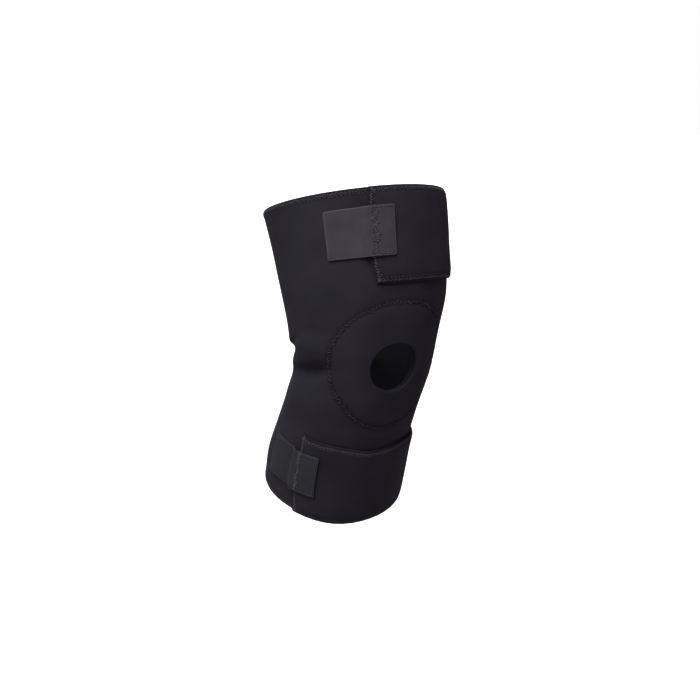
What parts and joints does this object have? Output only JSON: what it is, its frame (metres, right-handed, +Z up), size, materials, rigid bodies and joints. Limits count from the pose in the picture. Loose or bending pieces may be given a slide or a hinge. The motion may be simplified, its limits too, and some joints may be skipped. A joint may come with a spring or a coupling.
{
  "type": "knee sleeve",
  "caption": "Neoprene knee sleeve with an open kneecap, a padded ring round it and wrap flaps closed by hook tape tabs, shaped as worn on a slightly bent knee.",
  "frame": {"origin": "the middle of the knee joint, on the leg's middle line, where the sleeve is held on the leg", "axes": "+Z up along the leg towards the thigh, -Y towards the front of the knee, +X towards the side that the flaps are sewn on"},
  "size_m": [0.1732, 0.195, 0.3255],
  "materials": {
    "neoprene": "matte knitted face",
    "pad_lining": "matte",
    "hook_tape": "matte woven tape"
  },
  "bodies": {
    "root": {"sleeve_body": "neoprene", "kneecap_pad": "pad_lining", "upper_flap": "neoprene", "lower_flap": "neoprene", "upper_hook_tab": "hook_tape", "lower_hook_tab": "hook_tape"}
  },
  "joints": []
}
